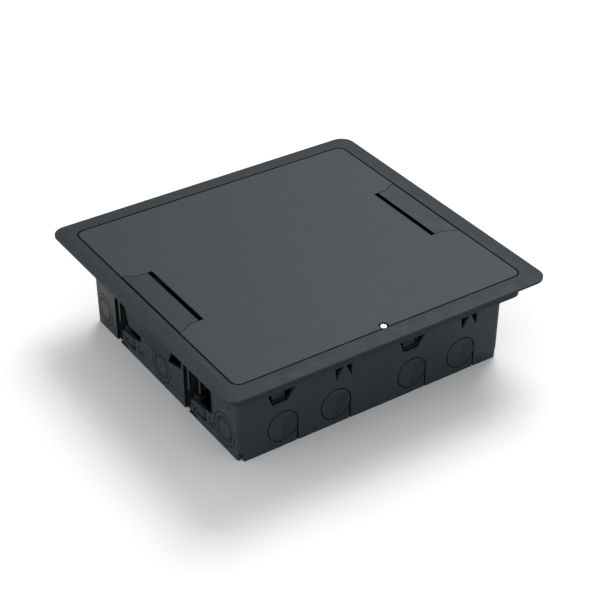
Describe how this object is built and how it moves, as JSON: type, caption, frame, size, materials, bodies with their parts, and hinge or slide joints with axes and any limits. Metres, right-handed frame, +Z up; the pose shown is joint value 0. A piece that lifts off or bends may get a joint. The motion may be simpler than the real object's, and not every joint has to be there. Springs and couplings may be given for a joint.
{
  "type": "floor socket box",
  "caption": "Square flush floor socket box: tub with conduit knockouts and swing clamps, flange frame, hinged locking lid with two cable flaps, sockets and data outlets inside.",
  "frame": {"origin": "centre of the lid's top face, at finished floor level plus the flange's rise", "axes": "+Z up; +Y towards the lid's hinge edge; +X to the right seen from the lock edge, so the lock is at -Y and the cable flaps are at -X and +X"},
  "size_m": [0.336, 0.3174, 0.0935],
  "materials": {
    "tub_plastic": "fine spark-eroded grain, satin matt",
    "frame_plastic": "fine grain, satin",
    "lid_plastic": "fine diamond anti-slip grain",
    "flap_plastic": "smooth satin",
    "claw_plastic": "glass-filled nylon, matt",
    "divider_plastic": "matt",
    "socket_plastic": "polished",
    "galvanised": "galvanised, faint spangle",
    "zinc_steel": "bright zinc plate",
    "black_steel": "black passivated steel",
    "lock_chrome": "bright nickel",
    "contact_brass": "plain brass",
    "foam": "closed-cell foam"
  },
  "bodies": {
    "box": {"tub_floor": "tub_plastic", "tub_front": "tub_plastic", "tub_back": "tub_plastic", "tub_left": "tub_plastic", "tub_right": "tub_plastic", "tub_posts": "tub_plastic", "tub_pillars": "tub_plastic", "clamp_guides": "tub_plastic", "frame_flange": "frame_plastic", "frame_collar": "frame_plastic", "frame_aprons": "frame_plastic", "frame_tongues": "frame_plastic", "lock_keeper": "zinc_steel", "lid_seal": "foam", "frame_screws": "zinc_steel", "carrier_left": "galvanised", "carrier_right": "galvanised", "carrier_screws": "zinc_steel", "sockets_left": "socket_plastic", "sockets_right": "socket_plastic", "socket_bases_left": "socket_plastic", "socket_bases_right": "socket_plastic", "socket_keys": "socket_plastic", "earth_contacts": "contact_brass", "data_left": "socket_plastic", "data_right": "socket_plastic", "divider": "divider_plastic", "earth_terminal": "contact_brass", "earth_terminal_screw": "zinc_steel"},
    "lid": {"lid_cover": "lid_plastic", "lid_plate": "galvanised", "lid_plate_screws": "zinc_steel", "lid_hinge_pins": "zinc_steel", "flap_pins": "zinc_steel"},
    "flap_left": {"flap_left": "flap_plastic", "flap_foam_left": "foam"},
    "flap_right": {"flap_right": "flap_plastic", "flap_foam_right": "foam"},
    "lock": {"lock_screw": "lock_chrome", "lock_cam": "zinc_steel", "lock_clip": "zinc_steel"},
    "clamp_screw_1": {"clamp_screw_1": "black_steel"},
    "clamp_nut_1": {"clamp_nut_1": "contact_brass"},
    "clamp_claw_1": {"clamp_claw_1": "claw_plastic"},
    "clamp_screw_2": {"clamp_screw_2": "black_steel"},
    "clamp_nut_2": {"clamp_nut_2": "contact_brass"},
    "clamp_claw_2": {"clamp_claw_2": "claw_plastic"},
    "clamp_screw_3": {"clamp_screw_3": "black_steel"},
    "clamp_nut_3": {"clamp_nut_3": "contact_brass"},
    "clamp_claw_3": {"clamp_claw_3": "claw_plastic"},
    "clamp_screw_4": {"clamp_screw_4": "black_steel"},
    "clamp_nut_4": {"clamp_nut_4": "contact_brass"},
    "clamp_claw_4": {"clamp_claw_4": "claw_plastic"}
  },
  "joints": [
    {"name": "lid_hinge", "type": "hinge", "parent": "box", "child": "lid", "pos_m": [0, 0.13093, -0.0035], "axis": [-1, 0, 0], "range_deg": [0, 110]},
    {"name": "flap_left_hinge", "type": "hinge", "parent": "lid", "child": "flap_left", "pos_m": [-0.1312, 0, -0.0036], "axis": [0, 1, 0], "range_deg": [0, 90]},
    {"name": "flap_right_hinge", "type": "hinge", "parent": "lid", "child": "flap_right", "pos_m": [0.1312, 0, -0.0036], "axis": [0, -1, 0], "range_deg": [0, 90]},
    {"name": "lock_turn", "type": "hinge", "parent": "lid", "child": "lock", "pos_m": [0, -0.138, -0.005], "axis": [0, 0, -1], "range_deg": [0, 90]},
    {"name": "clamp_screw_turn_1", "type": "hinge", "parent": "box", "child": "clamp_screw_1", "pos_m": [-0.131, 0.0767, -0.05], "axis": [0, 0, 1], "range_deg": [0, 10398]},
    {"name": "clamp_lift_1", "type": "slide", "parent": "box", "child": "clamp_nut_1", "axis": [0, 0, 1], "range_m": [0, 0.036]},
    {"name": "clamp_swing_1", "type": "hinge", "parent": "clamp_nut_1", "child": "clamp_claw_1", "pos_m": [-0.131, 0.0767, -0.08], "axis": [0, 0, -1], "range_deg": [0, 90]},
    {"name": "clamp_screw_turn_2", "type": "hinge", "parent": "box", "child": "clamp_screw_2", "pos_m": [-0.131, -0.0489, -0.05], "axis": [0, 0, 1], "range_deg": [0, 10398]},
    {"name": "clamp_lift_2", "type": "slide", "parent": "box", "child": "clamp_nut_2", "axis": [0, 0, 1], "range_m": [0, 0.036]},
    {"name": "clamp_swing_2", "type": "hinge", "parent": "clamp_nut_2", "child": "clamp_claw_2", "pos_m": [-0.131, -0.0489, -0.08], "axis": [0, 0, -1], "range_deg": [0, 90]},
    {"name": "clamp_screw_turn_3", "type": "hinge", "parent": "box", "child": "clamp_screw_3", "pos_m": [0.131, -0.0767, -0.05], "axis": [0, 0, 1], "range_deg": [0, 10398]},
    {"name": "clamp_lift_3", "type": "slide", "parent": "box", "child": "clamp_nut_3", "axis": [0, 0, 1], "range_m": [0, 0.036]},
    {"name": "clamp_swing_3", "type": "hinge", "parent": "clamp_nut_3", "child": "clamp_claw_3", "pos_m": [0.131, -0.0767, -0.08], "axis": [0, 0, -1], "range_deg": [0, 90]},
    {"name": "clamp_screw_turn_4", "type": "hinge", "parent": "box", "child": "clamp_screw_4", "pos_m": [0.131, 0.0489, -0.05], "axis": [0, 0, 1], "range_deg": [0, 10398]},
    {"name": "clamp_lift_4", "type": "slide", "parent": "box", "child": "clamp_nut_4", "axis": [0, 0, 1], "range_m": [0, 0.036]},
    {"name": "clamp_swing_4", "type": "hinge", "parent": "clamp_nut_4", "child": "clamp_claw_4", "pos_m": [0.131, 0.0489, -0.08], "axis": [0, 0, -1], "range_deg": [0, 90]}
  ],
  "couplings": [
    {"joint": "clamp_screw_turn_1", "follows": "clamp_lift_1", "rad_per_m": 5026.5},
    {"joint": "clamp_screw_turn_2", "follows": "clamp_lift_2", "rad_per_m": 5026.5},
    {"joint": "clamp_screw_turn_3", "follows": "clamp_lift_3", "rad_per_m": 5026.5},
    {"joint": "clamp_screw_turn_4", "follows": "clamp_lift_4", "rad_per_m": 5026.5}
  ]
}
